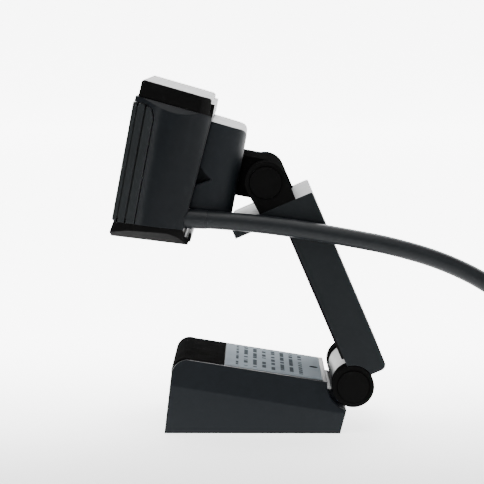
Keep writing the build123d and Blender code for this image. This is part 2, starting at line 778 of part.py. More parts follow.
with BuildPart() as main_board:
    with BuildSketch(front_at(BOARD_U)):
        with Locations((0, -1.0)):
            RectangleRounded(BOARD_SIZE[0], BOARD_SIZE[1], 1.0)
        with Locations(*BOARD_SCREWS):
            Circle(1.0, mode=Mode.SUBTRACT)
    extrude(amount=BOARD_THICK)
save(main_board.part, "main_board")

BOARD_FRONT = BOARD_U - BOARD_THICK

with BuildPart() as image_sensor:
    with BuildSketch(front_at(BOARD_FRONT)):
        with Locations(LENS_AT):
            Rectangle(6.4, 5.6)
    extrude(amount=0.8)
save(image_sensor.part, "image_sensor")

with BuildPart() as lens_holder:
    with BuildSketch(front_at(BOARD_FRONT)):
        with Locations(LENS_AT):
            Rectangle(10.4, 10.4)
            Rectangle(7.0, 7.0, mode=Mode.SUBTRACT)
    extrude(amount=1.4)
    with BuildSketch(front_at(BOARD_FRONT - 1.4)):
        with Locations(LENS_AT):
            Circle(5.0)
            Circle(3.3, mode=Mode.SUBTRACT)
    extrude(amount=1.6)
save(lens_holder.part, "lens_holder")

with BuildPart() as lens_barrel:
    with BuildSketch(front_at(BOARD_FRONT - 1.6)):
        with Locations(LENS_AT):
            Circle(3.25)
            Circle(2.4, mode=Mode.SUBTRACT)
    extrude(amount=3.0)
    with BuildSketch(front_at(BOARD_FRONT - 3.2)):
        with Locations(LENS_AT):
            Circle(LENS_R)
            Circle(2.4, mode=Mode.SUBTRACT)
    extrude(amount=BOARD_FRONT - 3.2 - PANEL_FACE - 0.4)
    with BuildSketch(front_at(PANEL_FACE + 0.4)):
        with Locations(LENS_AT):
            Circle(4.0)
    extrude(amount=-1.3, taper=25, mode=Mode.SUBTRACT)
save(lens_barrel.part, "lens_barrel")

LENS_APEX = PANEL_FACE + 1.75

with BuildPart() as front_lens:
    with BuildSketch(head_side):
        with BuildLine():
            dome = Line((LENS_APEX, LENS_AT[1]), (LENS_APEX + 0.3, LENS_AT[1] + 2.35))
            Polyline(
                dome @ 1, (LENS_APEX + 1.5, LENS_AT[1] + 2.35), (LENS_APEX + 1.5, LENS_AT[1]), dome @ 0
            )
        make_face()
    revolve(axis=Axis(head_side.from_local_coords(Vector(0, LENS_AT[1], 0)), to_rear))
save(front_lens.part, "front_lens")

with BuildPart() as lens_ring:
    with BuildSketch(front_at(PANEL_BACK - 0.02)):
        with Locations(LENS_AT):
            Circle(LENS_R + 1.15)
            Circle(LENS_R + 0.1, mode=Mode.SUBTRACT)
    extrude(amount=PANEL_THICK + 0.1)
save(lens_ring.part, "lens_ring")

with BuildPart() as status_light:
    with BuildSketch(front_at(BOARD_FRONT)):
        with Locations(HOLES["light"]):
            Circle(0.8)
    extrude(amount=BOARD_FRONT - PANEL_FACE)
save(status_light.part, "status_light")

with BuildPart() as microphones:
    with BuildSketch(front_at(BOARD_FRONT)):
        with Locations(HOLES["near_mic"], HOLES["far_mic"]):
            Rectangle(2.6, 3.4)
    extrude(amount=1.1)
save(microphones.part, "microphones")

with BuildPart() as mic_gaskets:
    with BuildSketch(front_at(BOARD_FRONT - 1.1)):
        with Locations(HOLES["near_mic"], HOLES["far_mic"]):
            Circle(1.4)
            Circle(0.6, mode=Mode.SUBTRACT)
    extrude(amount=BOARD_FRONT - 1.1 - PANEL_BACK)
save(mic_gaskets.part, "mic_gaskets")

with BuildPart() as board_connector:
    with BuildSketch(front_at(BOARD_U)):
        with Locations((11.0, -6.0)):
            Rectangle(8.0, 3.4)
    extrude(amount=-2.6)
save(board_connector.part, "board_connector")

with BuildPart() as board_screws:
    with BuildSketch(front_at(BOARD_U)):
        with Locations(*BOARD_SCREWS):
            Circle(1.7)
    extrude(amount=-0.9)
    with BuildSketch(front_at(BOARD_U)):
        with Locations(*BOARD_SCREWS):
            Circle(0.9)
    extrude(amount=3.6)
save(board_screws.part, "board_screws")

# Screws through the flange of the rear housing into the shell
with BuildPart() as neck_screws:
    with BuildSketch(front_at(BOSS_REAR - BOSS_WALL - 1.5)):
        with Locations((9.0, 0), (-9.0, 0)):
            Circle(1.8)
    extrude(amount=0.9)
    with BuildSketch(front_at(BOSS_REAR - BOSS_WALL - 1.5)):
        with Locations((9.0, 0), (-9.0, 0)):
            Circle(0.9)
    extrude(amount=-4.0)
save(neck_screws.part, "neck_screws")

# ---------------------------------------------------------------- cord

BOOT_LENGTH = 5.0
boot_start = EXIT - boot_way * 2.6
boot_end = EXIT + boot_way * BOOT_LENGTH

with BuildPart() as strain_relief:
    with BuildSketch(Plane(boot_start, z_dir=boot_way)):
        Circle(2.5)
    with BuildSketch(Plane(boot_end, z_dir=boot_way)):
        Circle(CORD_R + 0.1)
    loft()
save(strain_relief.part, "strain_relief")

COIL_LIFT = TIE_THICK
COIL_OUTER = COIL_MEAN_R + COIL_TURNS_ACROSS * CORD_R
COIL_INNER = COIL_MEAN_R - COIL_TURNS_ACROSS * CORD_R
COIL_HIGH = COIL_LAYERS * 2 * CORD_R
TURN_OUTER = COIL_OUTER - CORD_R

# The cord's route, from the boot to the top of the coil, and from the coil to the plug
route = [
    boot_end,
    FIRST_BEND,
    (22.5, 9.0, 50.35),
    (22.5, 22.0, 48.4),
    (22.5, 35.0, 45.9),
    (22.6, 47.0, 42.3),
    (23.0, 58.0, 36.6),
    (23.9, 68.0, 28.4),
    (25.2, 76.5, 19.0),
    (26.8, 84.5, 11.4),
    (28.0, 95.0, 7.0),
    (28.0, 101.5, 6.6),
]
TAIL_START = -80.0  # degrees round the coil
tail_angle = math.radians(TAIL_START)
tail_from = Vector(
    COIL_CENTRE[0] + TURN_OUTER * math.cos(tail_angle),
    COIL_CENTRE[1] + TURN_OUTER * math.sin(tail_angle),
    COIL_LIFT + CORD_R,
)
tail_route = [
    tail_from,
    (28.2, 72.7, 2.65),
    (35.4, 78.1, 3.1),
    (39.4, 86.1, 4.0),
    (39.4, 93.8, 4.0),
]


def tube(points, name):
    """A round cord along straight runs joined by arcs as large as the runs allow."""
    points = [Vector(*p) if isinstance(p, tuple) else p for p in points]
    runs = [b - a for a, b in zip(points, points[1:])]
    radii = []
    for before, after in zip(runs, runs[1:]):
        half_turn = math.radians(before.get_angle(after)) / 2
        radii.append(0.45 * min(before.length, after.length) / math.tan(half_turn))
    with BuildLine() as path:
        FilletPolyline(points, radius=radii)
    line = path.wires()[0]
    with BuildPart() as cord:
        with BuildSketch(Plane(points[0], z_dir=runs[0])):
            Circle(CORD_R)
        sweep(path=line)
    expected = math.pi * CORD_R**2 * line.length
    print(name, "radii", [round(r, 1) for r in radii], "runs", [round(r.length, 1) for r in runs])
    print(name, "length", round(line.length, 1), "volume ratio", round(cord.part.volume / expected, 4))
    return cord.part, line.length


main_tube, main_length = tube(route, "cable")
tail_tube, tail_length = tube(tail_route, "cable_tail")
coil_length = COIL_TURNS_ACROSS * COIL_LAYERS * 2 * math.pi * COIL_MEAN_R
print("cord length", round(main_length + tail_length + coil_length, 1))

with BuildPart() as cable_coil:
    with BuildSketch(Plane.XZ.offset(-COIL_CENTRE[1])):
        with Locations((COIL_CENTRE[0] + COIL_MEAN_R, COIL_LIFT + COIL_HIGH / 2)):
            RectangleRounded(COIL_OUTER - COIL_INNER, COIL_HIGH, 2.0)
    revolve(axis=Axis((COIL_CENTRE[0], COIL_CENTRE[1], 0), (0, 0, 1)))
save(cable_coil.part, "cable_coil")

# Both tubes run on into the coil's solid, where their ends are pressed in.
save(main_tube, "cable")
save(tail_tube, "cable_tail")

TIE_ANGLE = 150.0
tie_out = Vector(math.cos(math.radians(TIE_ANGLE)), math.sin(math.radians(TIE_ANGLE)), 0)
tie_at = Vector(*COIL_CENTRE, 0) + tie_out * COIL_MEAN_R + Vector(0, 0, COIL_LIFT + COIL_HIGH / 2)
tie_plane = Plane(tie_at, x_dir=tie_out, z_dir=tie_out.cross(Vector(0, 0, 1)))
with BuildPart() as coil_tie:
    with BuildSketch(tie_plane):
        RectangleRounded(
            COIL_OUTER - COIL_INNER + 2 * TIE_THICK + 0.8, COIL_HIGH + 2 * TIE_THICK, 2.0
        )
        RectangleRounded(COIL_OUTER - COIL_INNER + 0.8, COIL_HIGH, 1.6, mode=Mode.SUBTRACT)
    extrude(amount=3.0, both=True)
save(coil_tie.part, "coil_tie")

last_run = Vector(*tail_route[-1]) - Vector(*tail_route[-2])
plug_way = Vector(last_run.X, last_run.Y, 0).normalized()
plug_plane = Plane(tail_route[-1], x_dir=plug_way.cross(Vector(0, 0, 1)), z_dir=plug_way)
OVERMOLD = (15.6, 7.9, 27.0)
PLUG_SHELL = (12.0, 4.5, 12.0)

with BuildPart() as plug_overmold:
    with BuildSketch(plug_plane):
        Circle(CORD_R + 0.9)
    with BuildSketch(plug_plane.offset(7.0)):
        Circle(CORD_R + 1.2)
    loft()
    with BuildSketch(plug_plane.offset(7.0)):
        RectangleRounded(OVERMOLD[0], OVERMOLD[1], 2.2)
    extrude(amount=OVERMOLD[2] - 7.0)
    with BuildSketch(plug_plane.offset(OVERMOLD[2])):
        Rectangle(PLUG_SHELL[0], PLUG_SHELL[1])
    extrude(amount=-5.0, mode=Mode.SUBTRACT)
save(plug_overmold.part, "plug_overmold")

with BuildPart() as plug_shell:
    with BuildSketch(plug_plane.offset(OVERMOLD[2] - 5.0)):
        Rectangle(PLUG_SHELL[0], PLUG_SHELL[1])
        Rectangle(PLUG_SHELL[0] - 0.6, PLUG_SHELL[1] - 0.6, mode=Mode.SUBTRACT)
    extrude(amount=5.0 + PLUG_SHELL[2])
save(plug_shell.part, "plug_shell")

with BuildPart() as plug_tongue:
    with BuildSketch(plug_plane.offset(OVERMOLD[2] - 5.0)):
        with Locations((0, -1.0)):
            Rectangle(PLUG_SHELL[0] - 0.7, 1.8)
    extrude(amount=5.0 + PLUG_SHELL[2] - 0.5)
save(plug_tongue.part, "plug_tongue")

with BuildPart() as plug_contacts:
    with BuildSketch(plug_plane.offset(OVERMOLD[2] + 2.5)):
        with Locations(*[(x, 0.02) for x in (-3.5, -1.0, 1.0, 3.5)]):
            Rectangle(1.0, 0.2)
    extrude(amount=8.0)
save(plug_contacts.part, "plug_contacts")
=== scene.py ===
# %% [markdown] # A webcam on a folding stand A webcam is a wide head on a short arm, and the arm
# stands on a wedge that can also clip on a screen. Two friction hinges join them. The solids come
# ready made from the engineering model, in metres, and this lesson dresses them: camera, cord,
# finishes, studio.

# %% Load the frame
import math

import bmesh
import bpy
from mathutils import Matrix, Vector


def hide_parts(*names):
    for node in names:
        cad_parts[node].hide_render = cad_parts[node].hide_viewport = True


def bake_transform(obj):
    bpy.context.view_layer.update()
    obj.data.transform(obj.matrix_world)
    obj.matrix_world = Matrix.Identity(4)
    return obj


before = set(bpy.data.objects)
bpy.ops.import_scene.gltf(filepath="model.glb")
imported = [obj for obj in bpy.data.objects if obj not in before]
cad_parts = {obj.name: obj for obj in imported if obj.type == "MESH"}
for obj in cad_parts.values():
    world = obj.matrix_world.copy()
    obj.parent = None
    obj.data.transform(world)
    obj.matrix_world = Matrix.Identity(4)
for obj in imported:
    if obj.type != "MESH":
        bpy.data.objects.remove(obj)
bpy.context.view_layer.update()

MM = 0.001

# %% [markdown]
# ## The camera
# A product shot from the side wants a long lens, so that near and far edges keep their true sizes.
# The camera could hang from a target by a constraint, but a place and a direction are plainer, and
# they say outright how far off it stands: almost half a metre, looking a little down.

# %% Camera
CAMERA_AT = Vector((0.4593, 0.0014, 0.0957))
LOOKS_ALONG = Vector((-0.9938, -0.0071, -0.1108))
lens = bpy.data.cameras.new("product_lens")
lens.lens = 137.4
lens.sensor_width = 36.0
lens.clip_start = 0.01
camera = bpy.data.objects.new("product_camera", lens)
camera.location = CAMERA_AT
camera.rotation_mode = "QUATERNION"
camera.rotation_quaternion = LOOKS_ALONG.to_track_quat("-Z", "Y")
bpy.context.scene.collection.objects.link(camera)
bpy.context.scene.camera = camera
print("camera stands", round(CAMERA_AT.length, 3), "m off")

# %% [markdown]
# ## The cord's line
# The cord is a 4.3 mm PVC lead, almost 1.4 m of it. It leaves a boot at the side of the head, passes
# the arm, sags to the table behind the stand, and the spare length is wound flat there. One NURBS
# line carries the whole route, and tubes are swept along points read from it.

# %% From the boot to the table
CORD_RADIUS = 2.15 * MM
FREE_RUN = [
    (21.5, -10.3, 52.25), (22.1, -4.5, 51.95), (22.5, 4.5, 51.1), (22.5, 13.5, 49.8),
    (22.5, 23.5, 48.1), (22.5, 34.0, 46.1), (22.6, 46.0, 42.6), (23.0, 57.0, 37.3),
    (23.9, 67.0, 29.3), (25.2, 75.8, 19.9), (26.8, 83.8, 12.0), (28.0, 91.2, 7.6),
]
print("free run falls from", FREE_RUN[0][2], "mm to", FREE_RUN[-1][2], "mm above the table")

# %% [markdown]
# ## The wound length
# Spare cord is wound in a flat double spiral: in along the top layer, down at the middle, out along
# the table. Every turn lies one cord's width from the next. It could be pulled tight by a simulation,
# but a wound coil is regular, and a loop over angles says so. A spline of order 3 cuts inside its
# control points, by the cosine of half a step, and the loop pushes the points out by as much.

# %% Turns of the coil
COIL_MIDDLE = Vector((-2.6, 98.6, 0.0))
STEPS_A_TURN = 16
TURN_PITCH = 4.33
OUTER_TURN = 30.8
TOP_LAYER, TABLE_LAYER = 6.95, 2.65
LEAVES_AT = 8 * 360 + 280
HALF_WAY = LEAVES_AT / 2
DROP_ARC = 240
STEP = 360 / STEPS_A_TURN
push_out = 1 / math.cos(math.radians(STEP / 2))
wound = []
for number in range(int(LEAVES_AT / STEP) + 1):
    degrees = number * STEP
    inward = min(degrees, LEAVES_AT - degrees)
    radius = (OUTER_TURN - TURN_PITCH * inward / 360) * push_out
    drop = min(max((degrees - HALF_WAY) / DROP_ARC + 0.5, 0), 1)
    height = TOP_LAYER + (TABLE_LAYER - TOP_LAYER) * drop * drop * (3 - 2 * drop)
    angle = math.radians(degrees)
    wound.append((
        COIL_MIDDLE.x + radius * math.cos(angle), COIL_MIDDLE.y + radius * math.sin(angle), height,
    ))
print("coil of", round(LEAVES_AT / 360, 1), "turns, innermost radius",
      round(OUTER_TURN - TURN_PITCH * HALF_WAY / 360, 1), "mm")

# %% [markdown]
# ## One line for the whole cord
# The tail leaves the coil on the table, turns beside it and ends in the plug. All the points together
# steer one spline. Its order and its end setting come after its points, because Blender counts points
# before it allows either. A curve with no bevel turns into a plain chain of points, ready for tubes.

# %% The tail and the whole line
TAIL_RUN = [
    (9.6, 69.4, 2.65), (20.0, 71.2, 2.65), (29.2, 73.6, 2.7), (36.0, 78.8, 3.2), (39.2, 86.2, 4.0),
    (39.4, 95.6, 4.0),
]
line = bpy.data.curves.new("cord_line", "CURVE")
line.dimensions = "3D"
line.resolution_u = 6
spline = line.splines.new("NURBS")
route = FREE_RUN + wound + TAIL_RUN
spline.points.add(len(route) - 1)
for point, (x, y, z) in zip(spline.points, route):
    point.co = (x * MM, y * MM, z * MM, 1.0)
spline.order_u = 3
spline.use_endpoint_u = True
line_object = bpy.data.objects.new("cord_line", line)
bpy.context.scene.collection.objects.link(line_object)
bpy.context.view_layer.update()
drawn = bpy.data.meshes.new_from_object(line_object)
centre_line = [vertex.co.copy() for vertex in drawn.vertices]
bpy.data.objects.remove(line_object)


def run_length(points):
    """How long a line is, in metres."""
    return sum((b - a).length for a, b in zip(points, points[1:]))


print("cord of", round(run_length(centre_line) / MM), "mm, drawn with", len(centre_line), "points")

# %% [markdown]
# ## Sweeping the cord
# A tube is rings of corners, one ring for each point of the line. Each ring is turned by the smallest
# turn that follows the line, so the tube never twists. The first piece runs from the boot to beside
# the arm and the second from there to the plug, and they share the ring where they meet.

# %% Tube helper
def tube_along(name, points, first, last, radius, corners=20):
    """A closed tube mesh that follows the points from the first to the last of a stretch."""
    mesh = bpy.data.meshes.new(name)
    bm = bmesh.new()
    along = (points[1] - points[0]).normalized()
    side = along.orthogonal().normalized()
    rings = []
    for index in range(last + 1):
        ahead = points[min(index + 1, len(points) - 1)] - points[max(index - 1, 0)]
        side.rotate(along.rotation_difference(ahead))
        along = ahead.normalized()
        other = along.cross(side)
        if index >= first:
            rings.append([
                bm.verts.new(points[index] + radius * (side * math.cos(turn) + other * math.sin(turn)))
                for turn in (2 * math.pi * k / corners for k in range(corners))
            ])
    for ring, following in zip(rings, rings[1:]):
        for k in range(corners):
            n = (k + 1) % corners
            bm.faces.new((ring[k], ring[n], following[n], following[k])).smooth = True
    for cap in (bm.faces.new(list(reversed(rings[0]))), bm.faces.new(rings[-1])):
        for edge in cap.edges:
            edge.smooth = False
    bmesh.ops.recalc_face_normals(bm, faces=bm.faces)
    bm.to_mesh(mesh)
    bm.free()
    tube = bpy.data.objects.new(name, mesh)
    bpy.context.scene.collection.objects.link(tube)
    return tube


print("a ring every", round(run_length(centre_line) / MM / len(centre_line), 1), "mm on average")

# %% [markdown]
# ## Two lengths of cord
# A real cord slides and bends as the head nods and the arm folds. Here it is swept in two lengths
# that meet beside the arm: the upper from the boot to there, the lower on through the coil to the
# plug. They stand in for the model's own cable, tail and coil, which are hidden. Neither length
# follows the hinges.

# %% Two lengths of cord
MEETING_PLACE = Vector((22.5, 33.0, 46.3)) * MM
meets = min(range(len(centre_line) // 2), key=lambda k: (centre_line[k] - MEETING_PLACE).length)
cable_upper = tube_along("cable_upper", centre_line, 0, meets, CORD_RADIUS)
cable_lower = tube_along("cable_lower", centre_line, meets, len(centre_line) - 1, CORD_RADIUS)
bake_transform(cable_upper)
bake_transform(cable_lower)
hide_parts("cable")
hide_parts("cable", "cable_tail", "cable_coil")

# %% [markdown]
# ## Writing finishes
# A finish is a tree of nodes. Drawn by hand it is slow to change, so here a socket is wrapped in a
# small class, and sums on it add the Math nodes. Every other node comes from one method that takes
# its kind, its settings and its sockets.

# %% A socket with sums
class Value:
    """One output of a node. A sum written with it adds a Math node to its finish."""

    def __init__(self, finish, socket):
        self.finish = finish
        self.socket = socket

    def maths(self, operation, *terms):
        return self.finish.add("ShaderNodeMath", {"operation": operation}, dict(enumerate(terms)))

    def __add__(self, other):
        return self.maths("ADD", self, other)

    __radd__ = __add__

    def __sub__(self, other):
        return self.maths("SUBTRACT", self, other)

    def __rsub__(self, other):
        return self.maths("SUBTRACT", other, self)

    def __mul__(self, other):
        return self.maths("MULTIPLY", self, other)

    __rmul__ = __mul__

    def __mod__(self, other):
        return self.maths("FLOORED_MODULO", self, other)

    def __lt__(self, other):
        return self.maths("LESS_THAN", self, other)

    def __gt__(self, other):
        return self.maths("GREATER_THAN", self, other)

    def __abs__(self):
        return self.maths("ABSOLUTE", self)


print("sums:", ", ".join(name for name in vars(Value) if name.startswith("__r")))

# %% [markdown]
# ## A finish is a tree
# Each finish needs the same few nodes again and again: noise, random cells, a ramp, a mix of colours,
# relief. They become short methods of one class, and the general one, add, makes any other node.

# %% Finishes
class Finish:
    """A material, built node by node."""

    def __init__(self, name):
        self.material = bpy.data.materials.new(name)
        self.material.use_nodes = True
        self.tree = self.material.node_tree
        self.tree.nodes.clear()
        self.place = self.add("ShaderNodeTexCoord", output="Object")

    def add(self, kind, settings=None, sockets=None, output=0):
        """A node of that kind: its settings first, then its sockets' values or links."""
        node = self.tree.nodes.new(kind)
        for name, value in (settings or {}).items():
            if name == "stops":
                ramp = node.color_ramp.elements
                while len(ramp) < len(value):
                    ramp.new(1.0)
                for element, (position, level) in zip(ramp, value):
                    element.position = position
                    element.color = (level, level, level, 1.0)
            else:
                setattr(node, name, value)
        for name, value in (sockets or {}).items():
            if isinstance(value, Value):
                self.tree.links.new(value.socket, node.inputs[name])
            else:
                node.inputs[name].default_value = value
        return Value(self, node.outputs[output])

    def noise(self, size, detail=2.0, rough=0.5, vector=None):
        """Soft random grey, with patches about that size, in metres."""
        return self.add("ShaderNodeTexNoise", {}, {
            "Vector": vector or self.place, "Scale": 1 / size, "Detail": detail, "Roughness": rough,
        })

    def cells(self, size, vector=None):
        """Distance from the middles of random cells of that size."""
        return self.add("ShaderNodeTexVoronoi", {}, {
            "Vector": vector or self.place, "Scale": 1 / size, "Randomness": 1.0,
        })

    def steps(self, value, *stops):
        """The value through a ramp of (place, level) stops."""
        return self.add("ShaderNodeValToRGB", {"stops": stops}, {0: value})

    def mix(self, amount, first, second):
        """From the first colour to the second as the amount goes from 0 to 1."""
        sockets = {0: amount, 6: first, 7: second}
        return self.add("ShaderNodeMix", {"data_type": "RGBA"}, sockets, output=2)

    def axis(self, which):
        """One of the place's x, y and z."""
        return self.add("ShaderNodeSeparateXYZ", {}, {0: self.place}, output=which)

    def bump(self, height, depth, strength=1.0, over=None):
        """Relief of that depth, in metres."""
        sockets = {"Height": height, "Distance": depth, "Strength": strength}
        if over is not None:
            sockets["Normal"] = over
        return self.add("ShaderNodeBump", {}, sockets)

    def soft_edge(self, radius):
        """Normals that run round an edge, as a moulding's small radius does."""
        return self.add("ShaderNodeBevel", {"samples": 6}, {"Radius": radius})

    def close(self, **sockets):
        """Ends the tree in one Principled shader with these sockets."""
        named = {name.replace("_", " "): value for name, value in sockets.items()}
        shader = self.add("ShaderNodeBsdfPrincipled", {}, named)
        end = self.tree.nodes.new("ShaderNodeOutputMaterial")
        self.tree.links.new(shader.socket, end.inputs["Surface"])
        return self.material


def grey(level, blue=0.0):
    """A nearly neutral colour, a little blue if asked."""
    return (level * (1 - blue), level, level * (1 + blue), 1.0)


print("nodes by method:", ", ".join(name for name in vars(Finish) if not name.startswith("__")))

# %% [markdown]
# ## Moulded plastic
# The shells are ABS out of a spark-eroded mould, which leaves an even fine texture and a soft satin.
# Noise alone would look like dirt. Here small cells give the texture its grain, a broad cloud shifts
# colour and roughness by a few percent, and the edges get the small radius every moulding has.

# %% Moulded finish
def moulded(name, dark, light, satin=0.42, shine=0.13, gloss=0.0, grain=0.28 * MM, depth=0.012 * MM,
            edge=0.35 * MM):
    """Textured ABS, between two close colours, with a soft satin and small rounded edges."""
    finish = Finish(name)
    pits = finish.cells(grain)
    cloud = finish.noise(7 * MM, detail=3.0)
    speck = finish.noise(0.6 * MM)
    tone = cloud * 0.75 + speck * 0.25
    relief = finish.bump(pits + speck * 0.5, depth, over=finish.soft_edge(edge))
    return finish.close(
        Base_Color=finish.mix(tone, dark, light),
        Roughness=satin - 0.05 + cloud * 0.1 + speck * 0.06,
        Specular_IOR_Level=shine,
        Coat_Weight=gloss,
        Coat_Roughness=0.14,
        Normal=relief,
    )


# The head shell, housing, base, arm and front band are one ABS, given different tones to paint the light
# each catches: the head shell's darker tone is painted shade.
shaded_shell_finish = moulded("shell_plastic", (0.0030, 0.0042, 0.0054, 1), (0.0046, 0.0063, 0.0082, 1),
                       shine=0.06, gloss=0.13)
housing_finish = moulded("housing_plastic", (0.0050, 0.0067, 0.0085, 1), (0.0074, 0.0097, 0.0122, 1))
arm_finish = moulded("arm_plastic", (0.0050, 0.0067, 0.0080, 1), (0.0074, 0.0096, 0.0112, 1),
                     satin=0.45)
# The front band's lighter tone of the same ABS is painted light, standing in for the highlights on its
# rounded edge.
lit_band_finish = moulded("lit_front_band_plastic", (0.0072, 0.0092, 0.0100, 1), (0.0106, 0.0130, 0.0139, 1),
                      satin=0.4, gloss=0.14)
cover_finish = moulded("cover_plastic", grey(0.0014), grey(0.0024), satin=0.36, shine=0.05,
                       grain=0.22 * MM)
hinge_finish = moulded("hinge_plastic", grey(0.0034), grey(0.0056), satin=0.5, shine=0.0,
                       grain=0.2 * MM, depth=0.006 * MM)
inner_finish = moulded("inner_black_plastic", grey(0.006), grey(0.011), satin=0.5)
plug_finish = moulded("plug_plastic", grey(0.006), grey(0.01), satin=0.4, edge=0.5 * MM)
print("moulded finishes ready")

# %% [markdown]
# ## Rubber
# The pads that grip a screen are soft black rubber. Its surface is duller than plastic, with a fine
# pebble, and it holds a little pale dust in the hollows, which a multiplied noise gives.

# %% Rubber finishes
def rubber(name, dark, light, pebble=0.4 * MM, depth=0.03 * MM, rough=0.72):
    """Soft rubber with a pebble and a little pale dust."""
    finish = Finish(name)
    pebbles = finish.cells(pebble)
    cloud = finish.noise(4 * MM, detail=4.0, rough=0.6)
    dust = finish.steps(cloud * pebbles, (0.15, 0.0), (0.55, 1.0))
    relief = finish.bump(pebbles, depth, over=finish.soft_edge(0.2 * MM))
    return finish.close(
        Base_Color=finish.mix(dust, dark, light),
        Roughness=rough + (cloud - 0.5) * 0.2,
        Specular_IOR_Level=0.0,
        Normal=relief,
    )


pad_finish = rubber("grip_rubber", grey(0.006), grey(0.012))
foam_finish = rubber("mic_foam", grey(0.012), grey(0.03), pebble=0.25 * MM, depth=0.06 * MM, rough=0.9)
print("rubber:", pad_finish.name, "and", foam_finish.name)

# %% [markdown]
# ## The cord's jacket
# Soft PVC comes out of its die smooth, with faint lengthwise drag and a satin shine. The jacket is
# the same stuff on the boot and the cord. Its drag marks could be stretched along the line, but at
# this size a fine noise in the relief and in the roughness looks the same and needs no mapping.

# %% Jacket finish
def jacket(name):
    finish = Finish(name)
    cloud = finish.noise(5 * MM, detail=3.0)
    skin = finish.noise(0.35 * MM, detail=3.0)
    return finish.close(
        Base_Color=finish.mix(cloud, (0.0046, 0.0060, 0.0073, 1), (0.0068, 0.0087, 0.0103, 1)),
        Roughness=0.36 + cloud * 0.1 + skin * 0.06,
        Specular_IOR_Level=0.22,
        Normal=finish.bump(skin, 0.006 * MM),
    )


jacket_finish = jacket("cord_jacket")
print("jacket:", len(jacket_finish.node_tree.nodes), "nodes")

# %% [markdown]
# ## The label
# A silver-white sticker lies on the wedge, between rubber and hinge. It is foil stock with rows of
# small print. The print stands here as plain grey dashes, made from the distance down the slope and
# across it, since a picture of print would belong to somebody.

# %% Label finish
LABEL_FALL = math.radians(9.3)
LABEL_START = -5.9 * MM
ROW_PITCH, ROW_HEIGHT = 2.3 * MM, 0.95 * MM
PRINT_HALF_WIDTH = 13.2 * MM
PRINT_STARTS, PRINT_ENDS = 2.6 * MM, 19.5 * MM
RULE_AT, RULE_STARTS, RULE_ENDS = 14.6 * MM, 1.2 * MM, 22.8 * MM
DOT_AT, DOT_RADIUS = 22.3 * MM, 1.1 * MM


def label():
    """Foil stock with dashes for print, a rule down each side and one dot."""
    finish = Finish("label_foil")
    across = finish.axis("X")
    down = (finish.axis("Y") - LABEL_START) * (1 / math.cos(LABEL_FALL))
    row = (down % ROW_PITCH) < ROW_HEIGHT
    row_number = down - down % ROW_PITCH
    words = finish.noise(1.9 * MM, detail=0.0, vector=finish.add(
        "ShaderNodeCombineXYZ", {}, {0: across, 1: row_number * 7.3, 2: 0.0}))
    inside = (abs(across) < PRINT_HALF_WIDTH) * (down > PRINT_STARTS) * (down < PRINT_ENDS)
    dashes = row * (words > 0.44) * inside
    rule = (abs(abs(across) - RULE_AT) < 0.12 * MM) * (down > RULE_STARTS) * (down < RULE_ENDS)
    dot_place = finish.add("ShaderNodeVectorMath", {"operation": "DISTANCE"}, {
        0: finish.add("ShaderNodeCombineXYZ", {}, {0: across, 1: down, 2: 0.0}),
        1: (0.0, DOT_AT, 0.0),
    }, output="Value")
    dot = dot_place < DOT_RADIUS
    fibre = finish.noise(0.3 * MM, detail=4.0)
    sheen = finish.noise(6 * MM)
    paper = finish.mix(sheen, (0.215, 0.245, 0.272, 1), (0.285, 0.32, 0.348, 1))
    printed = finish.mix(dashes * 0.95 + rule * 0.5, paper, (0.05, 0.058, 0.064, 1))
    return finish.close(
        Base_Color=finish.mix(dot, printed, (0.006, 0.006, 0.006, 1)),
        Roughness=0.5 + fibre * 0.12,
        Specular_IOR_Level=0.0,
        Normal=finish.bump(fibre, 0.004 * MM),
    )


label_finish = label()
print("label:", round((PRINT_ENDS - PRINT_STARTS) / ROW_PITCH), "rows of dashes")

# %% [markdown]
# ## Metals
# Screws and pins are turned steel, plated, so rings from the tool stay on their faces and the plating
# clouds a little. The tripod insert is brass. One function makes both, from two colours.

# %% Metal finishes
def turned(name, dark, light, rough=0.28):
    """Bare or plated metal off a lathe."""
    finish = Finish(name)
    tool_marks = finish.noise(0.12 * MM, detail=1.0)
    cloud = finish.noise(1.5 * MM, detail=4.0)
    return finish.close(
        Base_Color=finish.mix(cloud, dark, light),
        Metallic=1.0,
        Roughness=rough + cloud * 0.16,
        Normal=finish.bump(tool_marks, 0.004 * MM, over=finish.soft_edge(0.08 * MM)),
    )


steel_finish = turned("plated_steel", (0.34, 0.34, 0.35, 1), (0.55, 0.55, 0.56, 1))
brass_finish = turned("turned_brass", (0.50, 0.35, 0.13, 1), (0.72, 0.54, 0.24, 1))
gold_finish = turned("contact_gold", (0.70, 0.47, 0.13, 1), (0.90, 0.66, 0.26, 1), rough=0.18)
plug_metal = turned("plug_nickel", (0.50, 0.50, 0.50, 1), (0.68, 0.68, 0.67, 1), rough=0.22)
print("metals:", ", ".join(metal.name for metal in (steel_finish, brass_finish, gold_finish, plug_metal)))

# %% [markdown]
# ## The front window
# The window is polished black acrylic, with a thin clear coat's shine and fine polishing hairs. Real
# glass over a black card would do it too, but light through two surfaces is slow to settle. One
# opaque surface under a coat looks the same from outside.

# %% Polished black
def polished(name, colour):
    """A polished dark surface with faint hairs."""
    finish = Finish(name)
    hairs = finish.noise(0.8 * MM, detail=6.0, rough=0.8)
    cloud = finish.noise(12 * MM)
    return finish.close(
        Base_Color=finish.mix(cloud, colour, tuple(1.6 * c for c in colour[:3]) + (1.0,)),
        Roughness=0.05 + finish.steps(hairs, (0.55, 0.0), (0.75, 0.1)) * 0.6,
        Specular_IOR_Level=0.2,
        Coat_Weight=0.08,
        Coat_Roughness=0.03,
        Normal=finish.soft_edge(0.15 * MM),
    )


window_finish = polished("polished_window", (0.0025, 0.0025, 0.003, 1))
sensor_finish = polished("sensor_cover", (0.012, 0.010, 0.022, 1))
print("polished:", window_finish.name, "and", sensor_finish.name)

